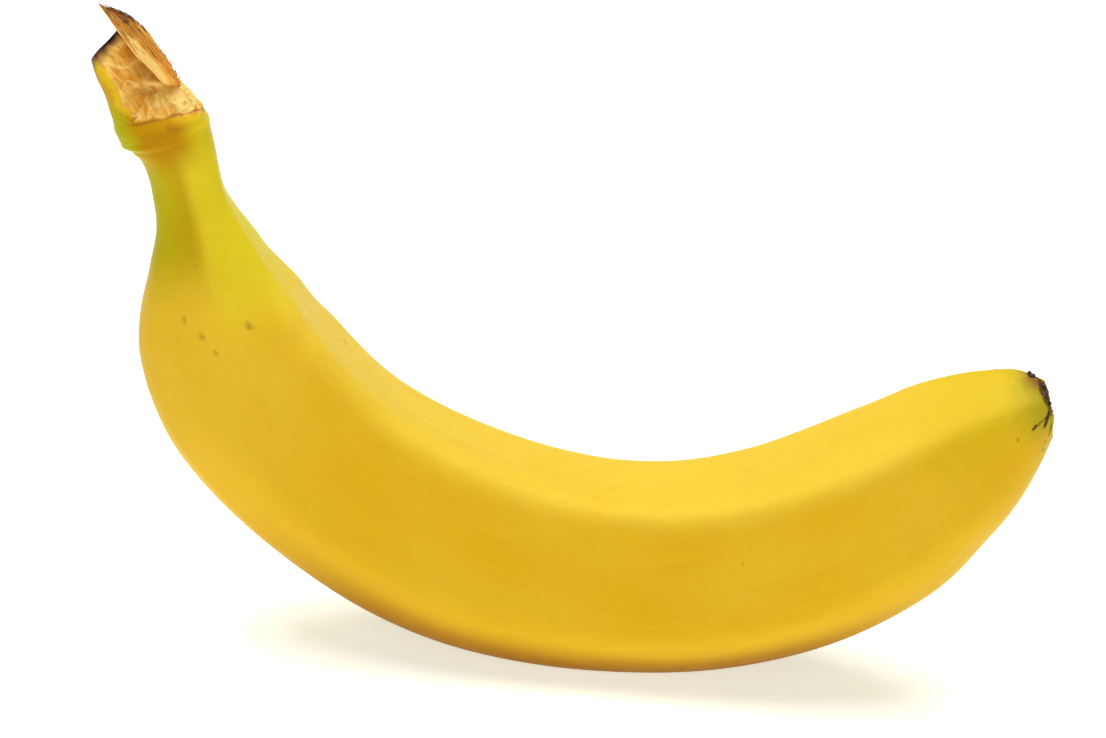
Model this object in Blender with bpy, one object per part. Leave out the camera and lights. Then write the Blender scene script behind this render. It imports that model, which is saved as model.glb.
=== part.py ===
"""A ripe banana with a torn stem, standing on the outside of its own curve, as one closed solid.

Units are metres and +Z is up. The fruit's curve lies in the XZ plane, with the stem end at -X and
the blossom end at +X, and Y runs across it. The origin is on the ground, under the middle of the
fruit's box.

The fruit is lofted along its middle line. A distance along that line starts at 0 at the collar, where
the neck meets the torn stem, and grows towards the blossom end. "Inward" is the side of the
middle line that faces the hollow of the curve, and "outward" is the other.
"""

import math

import bmesh
import bpy
from mathutils import Matrix, Vector

# Lengths of the four stretches, along the middle line.
NECK_LENGTH = 0.026
SHOULDER_LENGTH = 0.028
BODY_LENGTH = 0.125
TIP_LENGTH = 0.035

# Half thicknesses of the round stretches.
COLLAR_RADIUS = 0.0083
NECK_RADIUS = 0.0059
BODY_RADIUS = 0.0183
SCAR_RADIUS = 0.0051

# The collar is a lip round the top of the neck. It stands out most on its outward side.
COLLAR_SHIFT = 0.0017
LIP_LENGTH = 0.0013
LIP_BLEND = 0.0012
NECK_WAIST = 0.013

# The torn stem, measured from the collar: the peel's cut edge, and the fibre spur above it. Half depths
# lie in the plane of the curve, and half widths lie across it. Both parts lean outward and to the back.
PEEL_HEIGHT = 0.0143
SPUR_HEIGHT = 0.0225
STEM_HALF_DEPTH = 0.0067
STEM_HALF_WIDTH = 0.0054
STEM_OUTWARD = 0.0031
SPUR_HALF_DEPTH = 0.0024
SPUR_HALF_WIDTH = 0.0022
SPUR_OUTWARD = 0.0041
SET_BACK = 0.0012

# The dry blossom scar: a low knob on the far end, which is cut off at a slant.
KNOB_HEIGHT = 0.0014
END_SLANT = 12.0

# Where the fruit stands: how far its outer side is pressed flat, and how far the lowest point lies
# from the middle of mass, towards the blossom end. The pressed patch reaches past both.
PRESS_DEPTH = 0.0012
STAND_OFFSET = 0.0065

# The outline of a cross section: flat faces, each with the direction it faces (degrees from inward)
# and its distance from the middle line in radii. Neighbouring faces meet in a rounded ridge.
FACES = (
    (0.0, 1.00),
    (80.0, 0.96),
    (-80.0, 0.96),
    (130.0, 1.02),
    (-130.0, 1.02),
    (180.0, 1.00),
)
BODY_RIDGE_POWER = 10.0
END_RIDGE_POWER = 5.0

# How finely the surface is divided, the shorter step that finds where the fruit balances, the largest
# turn tried in setting it down and how often that range is halved, and the angle that stays a crease.
STEP_ALONG = 0.0040
END_STEP = 0.0014
STEPS_AROUND = 40
BALANCE_STEP = 0.0005
LARGEST_PITCH = 25.0
PITCH_HALVINGS = 24
CREASE_ANGLE = 50.0

NECK_END = NECK_LENGTH
BODY_START = NECK_LENGTH + SHOULDER_LENGTH
TIP_START = BODY_START + BODY_LENGTH
FRUIT_END = TIP_START + TIP_LENGTH


def mix(start, end, share):
    """The value a share of the way from start to end."""
    return start + (end - start) * share


def along_body(share):
    return mix(BODY_START, TIP_START, share)


def along_tip(share):
    return mix(TIP_START, FRUIT_END, share)


# The direction of the middle line, in degrees above +X, before the fruit is set down.
DIRECTION = (
    (0.0, -73.0),
    (NECK_END, -82.0),
    (BODY_START, -53.0),
    (along_body(0.19), -33.0),
    (along_body(0.43), -11.0),
    (along_body(0.67), 8.5),
    (along_body(0.91), 30.0),
    (along_tip(0.42), 42.5),
    (FRUIT_END, 38.0),
)

# Radius of the section.
GIRTH = (
    (0.0, COLLAR_RADIUS),
    (LIP_LENGTH, mix(NECK_RADIUS, COLLAR_RADIUS, 0.80)),
    (LIP_LENGTH + LIP_BLEND, mix(NECK_RADIUS, COLLAR_RADIUS, 0.30)),
    (NECK_WAIST, NECK_RADIUS),
    (NECK_END, mix(NECK_RADIUS, BODY_RADIUS, 0.31)),
    (mix(NECK_END, BODY_START, 0.46), mix(NECK_RADIUS, BODY_RADIUS, 0.75)),
    (BODY_START, mix(NECK_RADIUS, BODY_RADIUS, 0.93)),
    (along_body(0.15), 0.97 * BODY_RADIUS),
    (along_body(0.36), BODY_RADIUS),
    (along_body(0.60), 0.95 * BODY_RADIUS),
    (along_body(0.84), 0.93 * BODY_RADIUS),
    (TIP_START, 0.88 * BODY_RADIUS),
    (along_tip(0.42), mix(BODY_RADIUS, SCAR_RADIUS, 0.33)),
    (along_tip(0.72), mix(BODY_RADIUS, SCAR_RADIUS, 0.58)),
    (along_tip(0.90), mix(BODY_RADIUS, SCAR_RADIUS, 0.81)),
    (FRUIT_END, SCAR_RADIUS),
)

# Turn of the section about the middle line, in degrees.
TWIST = (
    (0.0, 20.0),
    (along_body(0.43), 10.0),
    (FRUIT_END, -17.0),
)

# Strength of the ridges: a higher power gives a crisper ridge.
RIDGE_POWER = (
    (0.0, END_RIDGE_POWER),
    (BODY_START, BODY_RIDGE_POWER),
    (along_body(0.85), BODY_RIDGE_POWER),
    (FRUIT_END, END_RIDGE_POWER),
)

# Outward shift of the section's middle, which makes the collar's lip.
SHIFT = (
    (0.0, COLLAR_SHIFT),
    (LIP_LENGTH, 0.75 * COLLAR_SHIFT),
    (LIP_LENGTH + LIP_BLEND, 0.30 * COLLAR_SHIFT),
    (NECK_WAIST, 0.0),
    (FRUIT_END, 0.0),
)

# Lean of the section away from square to the middle line, in degrees.
SLANT = (
    (0.0, 0.0),
    (along_tip(0.30), 0.0),
    (FRUIT_END, END_SLANT),
)

# The torn stem's sections: height above the collar, outward offset of the middle, half depth, half
# width, and offset of the middle to the back.
STEM_RINGS = (
    (
        0.08 * PEEL_HEIGHT,
        0.90 * COLLAR_SHIFT,
        0.96 * COLLAR_RADIUS,
        0.94 * COLLAR_RADIUS,
        0.0,
    ),
    (
        0.31 * PEEL_HEIGHT,
        0.58 * STEM_OUTWARD,
        mix(STEM_HALF_DEPTH, COLLAR_RADIUS, 0.35),
        mix(STEM_HALF_WIDTH, COLLAR_RADIUS, 0.42),
        0.25 * SET_BACK,
    ),
    (
        0.56 * PEEL_HEIGHT,
        0.84 * STEM_OUTWARD,
        STEM_HALF_DEPTH,
        STEM_HALF_WIDTH,
        0.50 * SET_BACK,
    ),
    (
        0.84 * PEEL_HEIGHT,
        STEM_OUTWARD,
        STEM_HALF_DEPTH,
        0.85 * STEM_HALF_WIDTH,
        0.75 * SET_BACK,
    ),
    (
        PEEL_HEIGHT,
        STEM_OUTWARD,
        0.90 * STEM_HALF_DEPTH,
        0.74 * STEM_HALF_WIDTH,
        0.92 * SET_BACK,
    ),
    (
        mix(PEEL_HEIGHT, SPUR_HEIGHT, 0.21),
        0.58 * STEM_OUTWARD,
        mix(SPUR_HALF_DEPTH, STEM_HALF_DEPTH, 0.42),
        mix(SPUR_HALF_WIDTH, STEM_HALF_WIDTH, 0.3),
        SET_BACK,
    ),
    (
        mix(PEEL_HEIGHT, SPUR_HEIGHT, 0.38),
        0.20 * SPUR_OUTWARD,
        SPUR_HALF_DEPTH,
        SPUR_HALF_WIDTH,
        SET_BACK,
    ),
    (
        mix(PEEL_HEIGHT, SPUR_HEIGHT, 0.60),
        0.32 * SPUR_OUTWARD,
        SPUR_HALF_DEPTH,
        0.85 * SPUR_HALF_WIDTH,
        SET_BACK,
    ),
    (
        mix(PEEL_HEIGHT, SPUR_HEIGHT, 0.83),
        0.66 * SPUR_OUTWARD,
        0.6 * SPUR_HALF_DEPTH,
        0.6 * SPUR_HALF_WIDTH,
        SET_BACK,
    ),
    (
        SPUR_HEIGHT,
        SPUR_OUTWARD,
        0.3 * SPUR_HALF_DEPTH,
        0.3 * SPUR_HALF_WIDTH,
        SET_BACK,
    ),
)

# The knob's sections: height above the end face, and radius.
KNOB_RINGS = (
    (0.45 * KNOB_HEIGHT, 0.86 * SCAR_RADIUS),
    (KNOB_HEIGHT, 0.52 * SCAR_RADIUS),
)


def slopes_of(stops):
    """Slope at each stop of a smooth curve that never overshoots between them."""
    gaps = [(b[1] - a[1]) / (b[0] - a[0]) for a, b in zip(stops, stops[1:])]
    slopes = [gaps[0]]
    for before, after in zip(gaps, gaps[1:]):
        same_way = before * after > 0.0
        slopes.append(2.0 * before * after / (before + after) if same_way else 0.0)
    slopes.append(gaps[-1])
    return slopes


def read(stops, distance):
    """The value of the smooth curve through (distance, value) stops."""
    slopes = slopes_of(stops)
    index = 0
    while index < len(stops) - 2 and distance > stops[index + 1][0]:
        index += 1
    start, start_value = stops[index]
    end, end_value = stops[index + 1]
    span = end - start
    t = (distance - start) / span
    rise = (2.0 * t**3 - 3.0 * t**2 + 1.0) * start_value + (3.0 * t**2 - 2.0 * t**3) * end_value
    lean = (t**3 - 2.0 * t**2 + t) * slopes[index] + (t**3 - t**2) * slopes[index + 1]
    return rise + lean * span


def outline_radius(angle, power):
    """Distance from the middle to the section's outline, in radii, at an angle from inward."""
    total = 0.0
    for facing, distance in FACES:
        reach = math.cos(angle - math.radians(facing)) / distance
        total += max(0.0, reach) ** power
    return total ** (-1.0 / power)


def even_steps(start, end, longest_step):
    """Distances from start up to but not including end, evenly spaced."""
    count = math.ceil((end - start) / longest_step)
    return [mix(start, end, index / count) for index in range(count)]


def section_distances():
    """Where the sections are: close together at the lip and the blunt end, further apart between."""
    lip_end = LIP_LENGTH + 2.0 * LIP_BLEND
    round_start = along_tip(0.72)
    distances = even_steps(0.0, lip_end, END_STEP)
    distances += even_steps(lip_end, round_start, STEP_ALONG)
    distances += even_steps(round_start, FRUIT_END, END_STEP)
    return distances + [FRUIT_END]


def middle_line(pitch, distances):
    """(distance, point, direction angle) at each of these distances along the middle line."""
    point = Vector((0.0, 0.0, 0.0))
    before = 0.0
    line = []
    for distance in distances:
        halfway = math.radians(read(DIRECTION, 0.5 * (before + distance))) + pitch
        point = point + (distance - before) * Vector((math.cos(halfway), 0.0, math.sin(halfway)))
        line.append((distance, point, math.radians(read(DIRECTION, distance)) + pitch))
        before = distance
    return line


def inward_of(angle):
    """Unit vector towards the hollow of the curve, where the middle line runs at this angle."""
    return Vector((-math.sin(angle), 0.0, math.cos(angle)))


def body_ring(distance, point, angle):
    """Points of one section of the neck, body or tip."""
    inward = inward_of(angle - math.radians(read(SLANT, distance)))
    across = Vector((0.0, 1.0, 0.0))
    radius = read(GIRTH, distance)
    power = read(RIDGE_POWER, distance)
    twist = math.radians(read(TWIST, distance))
    middle = point - read(SHIFT, distance) * inward
    ring = []
    for index in range(STEPS_AROUND):
        turn = math.tau * index / STEPS_AROUND
        reach = radius * outline_radius(turn, power)
        ring.append(middle + reach * (math.cos(turn + twist) * inward + math.sin(turn + twist) * across))
    return ring


def stem_ring(collar, angle, row):
    """Points of one section of the torn stem, which carries on from the collar."""
    height, outward, half_depth, half_width, back = row
    twist = math.radians(read(TWIST, 0.0))
    inward = inward_of(angle)
    upward = -Vector((math.cos(angle), 0.0, math.sin(angle)))
    across = Vector((0.0, 1.0, 0.0))
    middle = collar + height * upward - outward * inward + back * across
    ring = []
    for index in range(STEPS_AROUND):
        turn = math.tau * index / STEPS_AROUND + twist
        ring.append(middle + half_depth * math.cos(turn) * inward + half_width * math.sin(turn) * across)
    return ring


def knob_rings(end, line_angle):
    """Points of the sections of the dry knob on the blossom end."""
    angle = line_angle - math.radians(END_SLANT)
    forward = Vector((math.cos(angle), 0.0, math.sin(angle)))
    inward = inward_of(angle)
    across = Vector((0.0, 1.0, 0.0))
    twist = math.radians(read(TWIST, FRUIT_END))
    rings = []
    for height, radius in KNOB_RINGS:
        ring = []
        for index in range(STEPS_AROUND):
            turn = math.tau * index / STEPS_AROUND + twist
            spoke = math.cos(turn) * inward + math.sin(turn) * across
            ring.append(end + height * forward + radius * spoke)
        rings.append(ring)
    return rings


def overhang(pitch):
    """How far the lowest point lies from the middle of mass, towards the blossom end."""
    weight = 0.0
    moment = 0.0
    lowest = None
    for distance, point, angle in middle_line(pitch, even_steps(0.0, FRUIT_END, BALANCE_STEP)):
        area = read(GIRTH, distance) ** 2
        weight += area
        moment += area * point.x
        foot = point - read(GIRTH, distance) * inward_of(angle)
        if lowest is None or foot.z < lowest.z:
            lowest = foot
    return lowest.x - moment / weight


def standing_pitch():
    """The turn in the plane of the curve that puts the lowest point where the fruit stands."""
    low = math.radians(-LARGEST_PITCH)
    high = math.radians(LARGEST_PITCH)
    for _ in range(PITCH_HALVINGS):
        middle = 0.5 * (low + high)
        if overhang(middle) > STAND_OFFSET:
            low = middle
        else:
            high = middle
    return 0.5 * (low + high)


def fruit_rings():
    """Every section in order, from the torn stem's spur to the blossom knob."""
    line = middle_line(standing_pitch(), section_distances())
    _, collar, collar_angle = line[0]
    _, end, end_angle = line[-1]
    rings = [stem_ring(collar, collar_angle, row) for row in reversed(STEM_RINGS)]
    rings += [body_ring(*place) for place in line]
    return rings + knob_rings(end, end_angle)


def loft(bm, rings):
    """Join each section to the next with quads and close both ends with a fan."""
    rows = [[bm.verts.new(point) for point in ring] for ring in rings]
    for row, after in zip(rows, rows[1:]):
        for index in range(STEPS_AROUND):
            beside = (index + 1) % STEPS_AROUND
            bm.faces.new((row[index], row[beside], after[beside], after[index]))
    for row in (rows[0], rows[-1]):
        middle = sum((vert.co for vert in row), Vector()) / STEPS_AROUND
        centre = bm.verts.new(middle)
        for index in range(STEPS_AROUND):
            bm.faces.new((row[index], row[(index + 1) % STEPS_AROUND], centre))
    bmesh.ops.recalc_face_normals(bm, faces=bm.faces)


def set_down(bm):
    """Put the fruit on the ground, pressed flat where it stands, under the middle of its box."""
    lowest = min(vert.co.z for vert in bm.verts)
    bmesh.ops.translate(bm, verts=bm.verts, vec=(0.0, 0.0, -lowest - PRESS_DEPTH))
    for vert in bm.verts:
        vert.co.z = max(0.0, vert.co.z)
    for axis in (0, 1):
        places = [vert.co[axis] for vert in bm.verts]
        shift = Vector()
        shift[axis] = -0.5 * (min(places) + max(places))
        bmesh.ops.transform(bm, verts=bm.verts, matrix=Matrix.Translation(shift))


def peel_material():
    """Yellow, satin peel."""
    material = bpy.data.materials.new("banana_peel")
    material.use_nodes = True
    shader = material.node_tree.nodes["Principled BSDF"]
    shader.inputs["Base Color"].default_value = (0.80, 0.50, 0.03, 1.0)
    shader.inputs["Roughness"].default_value = 0.45
    shader.inputs["Metallic"].default_value = 0.0
    return material


def make_banana():
    """The whole fruit as one node."""
    mesh = bpy.data.meshes.new("banana")
    bm = bmesh.new()
    loft(bm, fruit_rings())
    set_down(bm)
    bm.to_mesh(mesh)
    bm.free()
    mesh.shade_smooth()
    mesh.set_sharp_from_angle(angle=math.radians(CREASE_ANGLE))
    mesh.materials.append(peel_material())
    banana = bpy.data.objects.new("banana", mesh)
    bpy.context.scene.collection.objects.link(banana)
    return banana


def clear_scene():
    for thing in list(bpy.data.objects):
        bpy.data.objects.remove(thing, do_unlink=True)


clear_scene()
make_banana()
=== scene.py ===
"""The looks of a ripe banana with a torn stem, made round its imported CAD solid.

Units are metres and +Z is up, in the CAD's own frame: the stem end is at -X and the blossom end at +X. The
peel repeats the CAD's loft with far finer sections, and adds lumps, dents and the torn sheath of the stem.
The torn tongue, its fibres and the dry blossom scar are meshes of their own. Each point's colour comes from
its place on the fruit, and the node materials add streaks, pores, specks, gloss and bump.
"""

import math

import bpy
import numpy as np
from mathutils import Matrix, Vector, noise


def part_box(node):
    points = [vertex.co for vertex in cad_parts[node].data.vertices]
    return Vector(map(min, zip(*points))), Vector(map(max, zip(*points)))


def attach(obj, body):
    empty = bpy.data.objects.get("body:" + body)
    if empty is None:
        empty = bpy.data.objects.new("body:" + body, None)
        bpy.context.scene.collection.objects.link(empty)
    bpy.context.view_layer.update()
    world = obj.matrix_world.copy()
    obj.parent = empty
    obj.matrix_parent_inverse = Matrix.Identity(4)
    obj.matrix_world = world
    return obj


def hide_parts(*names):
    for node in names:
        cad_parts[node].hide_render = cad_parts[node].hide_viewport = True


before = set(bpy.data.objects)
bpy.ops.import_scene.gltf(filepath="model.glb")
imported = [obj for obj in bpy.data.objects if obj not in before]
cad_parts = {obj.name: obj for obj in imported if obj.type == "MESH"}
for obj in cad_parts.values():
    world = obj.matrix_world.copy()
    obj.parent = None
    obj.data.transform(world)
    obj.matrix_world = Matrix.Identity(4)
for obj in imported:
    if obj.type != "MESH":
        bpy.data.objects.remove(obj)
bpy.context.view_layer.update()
node_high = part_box("banana")[1]

MM = 0.001

# The CAD's driving dimensions: lengths along the middle line, and half thicknesses.
NECK_LENGTH = 0.026
SHOULDER_LENGTH = 0.028
BODY_LENGTH = 0.125
TIP_LENGTH = 0.035
COLLAR_RADIUS = 0.0083
NECK_RADIUS = 0.0059
BODY_RADIUS = 0.0183
SCAR_RADIUS = 0.0051
COLLAR_SHIFT = 0.0017
LIP_LENGTH = 0.0013
LIP_BLEND = 0.0012
NECK_WAIST = 0.013
END_SLANT = 12.0
PRESS_DEPTH = 0.0012
STAND_OFFSET = 0.0065
BALANCE_STEP = 0.0005
LARGEST_PITCH = 25.0
PITCH_HALVINGS = 24

# Flat faces of the section: the direction each faces, in degrees from inward, and its distance in radii.
FACES = ((0.0, 1.00), (80.0, 0.96), (-80.0, 0.96), (130.0, 1.02), (-130.0, 1.02), (180.0, 1.00))
BODY_RIDGE_POWER = 10.0
END_RIDGE_POWER = 5.0

# How finely the peel is divided.
STEPS_AROUND = 192
BODY_STEP = 0.82 * MM
END_STEP = 0.16 * MM
STEM_STEP = 0.14 * MM

NECK_END = NECK_LENGTH
BODY_START = NECK_LENGTH + SHOULDER_LENGTH
TIP_START = BODY_START + BODY_LENGTH
FRUIT_END = TIP_START + TIP_LENGTH


def mix(start, end, share):
    """The value a share of the way from start to end."""
    return start + (end - start) * share


def along_body(share):
    return mix(BODY_START, TIP_START, share)


def along_tip(share):
    return mix(TIP_START, FRUIT_END, share)


# Direction of the middle line, in degrees above +X, before the fruit is set down.
DIRECTION = (
    (0.0, -73.0),
    (NECK_END, -82.0),
    (BODY_START, -53.0),
    (along_body(0.19), -33.0),
    (along_body(0.43), -11.0),
    (along_body(0.67), 8.5),
    (along_body(0.91), 30.0),
    (along_tip(0.42), 42.5),
    (FRUIT_END, 38.0),
)

# Radius of the section.
GIRTH = (
    (0.0, COLLAR_RADIUS),
    (LIP_LENGTH, mix(NECK_RADIUS, COLLAR_RADIUS, 0.80)),
    (LIP_LENGTH + LIP_BLEND, mix(NECK_RADIUS, COLLAR_RADIUS, 0.30)),
    (NECK_WAIST, NECK_RADIUS),
    (NECK_END, mix(NECK_RADIUS, BODY_RADIUS, 0.31)),
    (mix(NECK_END, BODY_START, 0.46), mix(NECK_RADIUS, BODY_RADIUS, 0.75)),
    (BODY_START, mix(NECK_RADIUS, BODY_RADIUS, 0.93)),
    (along_body(0.15), 0.97 * BODY_RADIUS),
    (along_body(0.36), BODY_RADIUS),
    (along_body(0.60), 0.95 * BODY_RADIUS),
    (along_body(0.84), 0.93 * BODY_RADIUS),
    (TIP_START, 0.88 * BODY_RADIUS),
    (along_tip(0.42), mix(BODY_RADIUS, SCAR_RADIUS, 0.33)),
    (along_tip(0.72), mix(BODY_RADIUS, SCAR_RADIUS, 0.58)),
    (along_tip(0.90), mix(BODY_RADIUS, SCAR_RADIUS, 0.81)),
    (FRUIT_END, SCAR_RADIUS),
)

# Turn of the section about the middle line, in degrees.
TWIST = ((0.0, 20.0), (along_body(0.43), 10.0), (FRUIT_END, -17.0))

# Strength of the ridges: a higher power gives a crisper ridge.
RIDGE_POWER = (
    (0.0, END_RIDGE_POWER),
    (BODY_START, BODY_RIDGE_POWER),
    (along_body(0.85), BODY_RIDGE_POWER),
    (FRUIT_END, END_RIDGE_POWER),
)

# Outward shift of the section's middle, which makes the collar's lip.
SHIFT = (
    (0.0, COLLAR_SHIFT),
    (LIP_LENGTH, 0.75 * COLLAR_SHIFT),
    (LIP_LENGTH + LIP_BLEND, 0.30 * COLLAR_SHIFT),
    (NECK_WAIST, 0.0),
    (FRUIT_END, 0.0),
)

# Lean of the section away from square to the middle line, in degrees.
SLANT = ((0.0, 0.0), (along_tip(0.30), 0.0), (FRUIT_END, END_SLANT))

# Turn of the end face towards the back, as a slope.
END_TURN = ((0.0, 0.0), (along_tip(0.72), 0.0), (FRUIT_END, 0.15))

# How far the neck's inward side stands out, by distance from the collar, both in millimetres.
NECK_RISE = ((0.0, 0.0), (9.0, 0.0), (26.0, 1.0), (46.0, 0.0))

# How far the tip's inward side stands out, by distance from the end, both in millimetres.
TIP_RISE = ((0.0, -0.5), (1.2, 0.2), (2.6, 0.65), (4.0, 0.75), (7.0, 0.6), (14.0, 0.35), (26.0, 0.0))

# How far the inward side of the end face is drawn forward, and how far along the tip, in millimetres.
END_DRAW = 1.9
END_DRAW_REACH = 7.0

# Small brown marks on the body: distance from the collar in millimetres, turn in degrees, and half width.
BODY_MARKS = (
    (32.2, -111.0, 0.40),
    (35.1, -99.0, 0.50),
    (38.7, -92.0, 0.40),
    (35.8, -64.0, 0.60),
    (56.0, 10.0, 0.45),
    (74.0, 128.0, 0.70),
    (97.0, 84.0, 0.50),
    (128.0, 36.0, 0.40),
    (140.1, -141.0, 0.75),
    (158.0, 150.0, 0.60),
)

# The dry scar on the end face, in millimetres from the face's middle.
SCAR_INWARD = 2.3
SCAR_SIDE = -1.2
SCAR_HALF_DEPTH = 2.8
SCAR_HALF_WIDTH = 4.0

# Dry threads on the scar: a turn and a share of its reach, and how far they go forward and inward.
SCAR_THREADS = ((0.15, 0.8, 1.2, 0.9), (-0.4, 0.6, 0.6, 0.5), (2.9, 1.0, 0.4, -0.5), (0.9, 1.0, 0.5, 0.4))

# Dark marks on the tip: a half width, a strength, and a path of distances from the end in millimetres and
# turns round the fruit in degrees from inward.
TIP_MARKS = (
    (0.26, 1.0, ((-0.2, -52.0), (0.5, -64.0), (1.1, -75.0))),
    (0.10, 0.9, ((0.5, -62.0), (2.3, -66.0))),
    (0.20, 1.0, ((2.2, -65.0), (2.6, -67.0))),
    (0.12, 0.6, ((4.5, -68.0), (4.6, -69.0))),
    (0.13, 0.9, ((1.4, -105.0), (1.5, -107.0))),
    (0.13, 0.9, ((2.1, -114.0), (2.3, -116.0))),
    (0.16, 0.9, ((-0.2, -84.0), (0.2, -96.0), (0.5, -104.0))),
    (0.36, 0.7, ((5.6, 40.0), (4.8, 38.0))),
    (0.16, 1.0, ((3.2, 42.0), (0.6, 38.0))),
)

# The torn stem is laid out in millimetres from the collar's middle: height up the stem, inward (towards the
# hollow of the curve) and back (+Y). The tear faces up and to one side, so its own depth axis leans.
TEAR_LEAN_UP = -0.30
TEAR_LEAN_INWARD = -0.43

# Outer and inner sides of the sheath of peel, and its half widths to the back and to the front, by height.
SHEATH_OUTER = ((0.0, -9.4), (1.0, -9.4), (3.0, -9.15), (4.6, -9.1), (8.0, -9.25), (11.6, -9.7), (14.2, -9.6),
                (15.0, -8.7), (16.8, -5.5), (18.2, -3.3))
SHEATH_INNER = ((0.0, 6.9), (0.5, 6.9), (1.0, 6.4), (2.0, 6.0), (3.6, 5.6), (5.6, 4.5), (7.5, 3.3),
                (10.0, 2.0), (13.0, 0.2), (16.0, -1.6), (18.2, -3.0))
SHEATH_BACK = ((0.0, 8.1), (3.0, 6.9), (8.0, 6.0), (14.0, 5.2), (17.4, 4.6))
SHEATH_FRONT = ((0.0, 8.1), (3.0, 6.6), (8.0, 5.0), (14.0, 4.0), (17.4, 3.4))
SHEATH_WALL = 1.3
SHEATH_TOP = 18.2
SHEATH_ROUNDNESS = 0.92
SHEATH_LEAN = 0.05

# The tear's outline on its own plane: the height of its lower edge by inward place, and the inward place of
# its outer edge by height. A thin brown crack follows its foot.
TEAR_FOOT = ((-5.2, 1.6), (-3.0, 1.15), (0.4, 0.8), (5.6, 0.5), (7.2, 0.3))
TEAR_SIDE = ((1.4, -5.8), (3.2, -6.2), (5.0, -7.2), (6.5, -6.8), (7.9, -7.1), (10.5, -7.7), (13.5, -8.6),
             (15.0, -9.2))
TEAR_CRACK = ((-8.2, 2.3), (-6.8, 1.4), (-5.2, 0.9), (-2.0, 0.9), (2.0, 0.9), (8.0, 0.8))

# Hollows and lumps of the torn flesh: a depth, and an (inward, height) place and half widths on the tear.
FLESH_HOLLOWS = (
    (1.5, (-3.6, 4.9), (2.2, 1.9)),
    (1.3, (-2.0, 10.0), (2.4, 3.4)),
    (-2.3, (4.0, 3.8), (2.7, 2.3)),
    (-0.9, (-1.0, 7.2), (3.2, 0.9)),
)

# The tongue of torn fibre: its outer and inner edges by height, where its strands end across its width,
# and its front and its thickness by height.
TONGUE_OUTER = ((5.8, 2.3), (6.7, 1.8), (8.9, 0.85), (10.3, 0.2), (13.3, -1.5), (16.0, -2.4), (18.0, -3.1),
                (24.3, -4.8))
TONGUE_INNER = ((5.8, 4.8), (7.0, 4.7), (9.8, 4.4), (13.0, 3.3), (16.4, 2.3), (19.8, 0.9), (22.1, -0.9),
                (24.3, -3.9))
TONGUE_END = ((0.0, 24.1), (0.12, 23.2), (0.26, 21.9), (0.36, 22.8), (0.65, 21.9), (0.85, 20.6), (1.0, 18.2))
TONGUE_FRONT = ((5.8, 1.2), (6.6, -0.9), (7.6, -2.7), (9.0, -3.4), (13.0, -2.4), (18.0, -1.0), (24.3, -0.2))
TONGUE_THICKNESS = ((5.8, 1.6), (7.4, 2.8), (9.0, 2.9), (15.0, 2.0), (20.0, 1.1), (24.3, 0.4))

# Pale hairs beside the tongue: the height and the inward place of the root, a length and a bend.
PALE_HAIRS = ((7.0, 4.6, 2.2, 1.3), (6.4, 5.4, 1.3, 0.5), (9.8, 4.7, 0.9, -0.2))


def srgb(red, green, blue):
    """A display colour, in steps of 255, as linear light."""
    shares = np.array((red, green, blue)) / 255.0
    return np.where(shares <= 0.04045, shares / 12.92, ((shares + 0.055) / 1.055) ** 2.4)


# The peel, from the body to both ends.
YELLOW = srgb(225, 190, 58)
# Deeper yellow of the sides and underside: partly the peel's own tone, partly painted shade beside the paler
# top face.
DEEP_YELLOW_AND_SHADE = srgb(214, 166, 22)
# Orange-brown of the underside: partly the peel's own warmer tone, partly painted shade.
UNDER_SHADE_ORANGE = srgb(152, 98, 4)
OLIVE = srgb(180, 150, 8)
NECK_LIGHT = srgb(214, 193, 34)
GREEN = srgb(176, 172, 8)
COLLAR_GOLD = srgb(178, 126, 8)
TIP_GOLD = srgb(206, 176, 26)
TIP_GREEN = srgb(150, 146, 34)
TIP_BROWN = srgb(132, 88, 44)
END_SKIN = srgb(202, 168, 34)

# The sheath of peel round the torn stem.
SHEATH_GOLD = srgb(186, 134, 12)
SHEATH_YELLOW = srgb(222, 170, 18)
SHEATH_UPPER = srgb(196, 146, 14)
SHEATH_BY_TEAR = srgb(218, 178, 24)
SHEATH_RIM = srgb(184, 120, 26)
CUT_BROWN = srgb(84, 46, 28)
CUT_CHAR = srgb(66, 36, 22)

# The torn flesh and fibre.
CREAM = srgb(246, 208, 120)
TAN = srgb(222, 166, 64)
RUST = srgb(208, 124, 30)
# Pale lines along painted fold crests that the flesh's shape does not have: painted highlight over the
# flesh's cream.
FOLD_HIGHLIGHT = srgb(250, 224, 150)
FIBRE_DARK = srgb(172, 98, 24)
# Darker tans for the torn flesh's lower and upper hollows: painted shade.
HOLLOW_SHADE_TAN = srgb(192, 126, 40)
UPPER_HOLLOW_SHADE_TAN = srgb(198, 134, 48)
CHUNK_CREAM = srgb(250, 214, 126)
DRY_TAN = srgb(172, 128, 66)
PALE_EDGE = srgb(236, 200, 96)
TONGUE_TAN = srgb(232, 168, 64)
TONGUE_RED = srgb(192, 98, 22)
TONGUE_CHAR = srgb(62, 32, 18)

# Dry and dark places, and the blossom scar.
BROWN = srgb(136, 76, 30)
GREY_BROWN = srgb(118, 84, 52)
BARK = srgb(70, 44, 30)
CHAR = srgb(38, 24, 20)
SCAR_EDGE = srgb(170, 112, 70)
SCAR_BROWN = srgb(120, 72, 48)
LUMP_BROWN = srgb(112, 66, 44)
LUMP_LIGHT = srgb(176, 128, 92)


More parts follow.
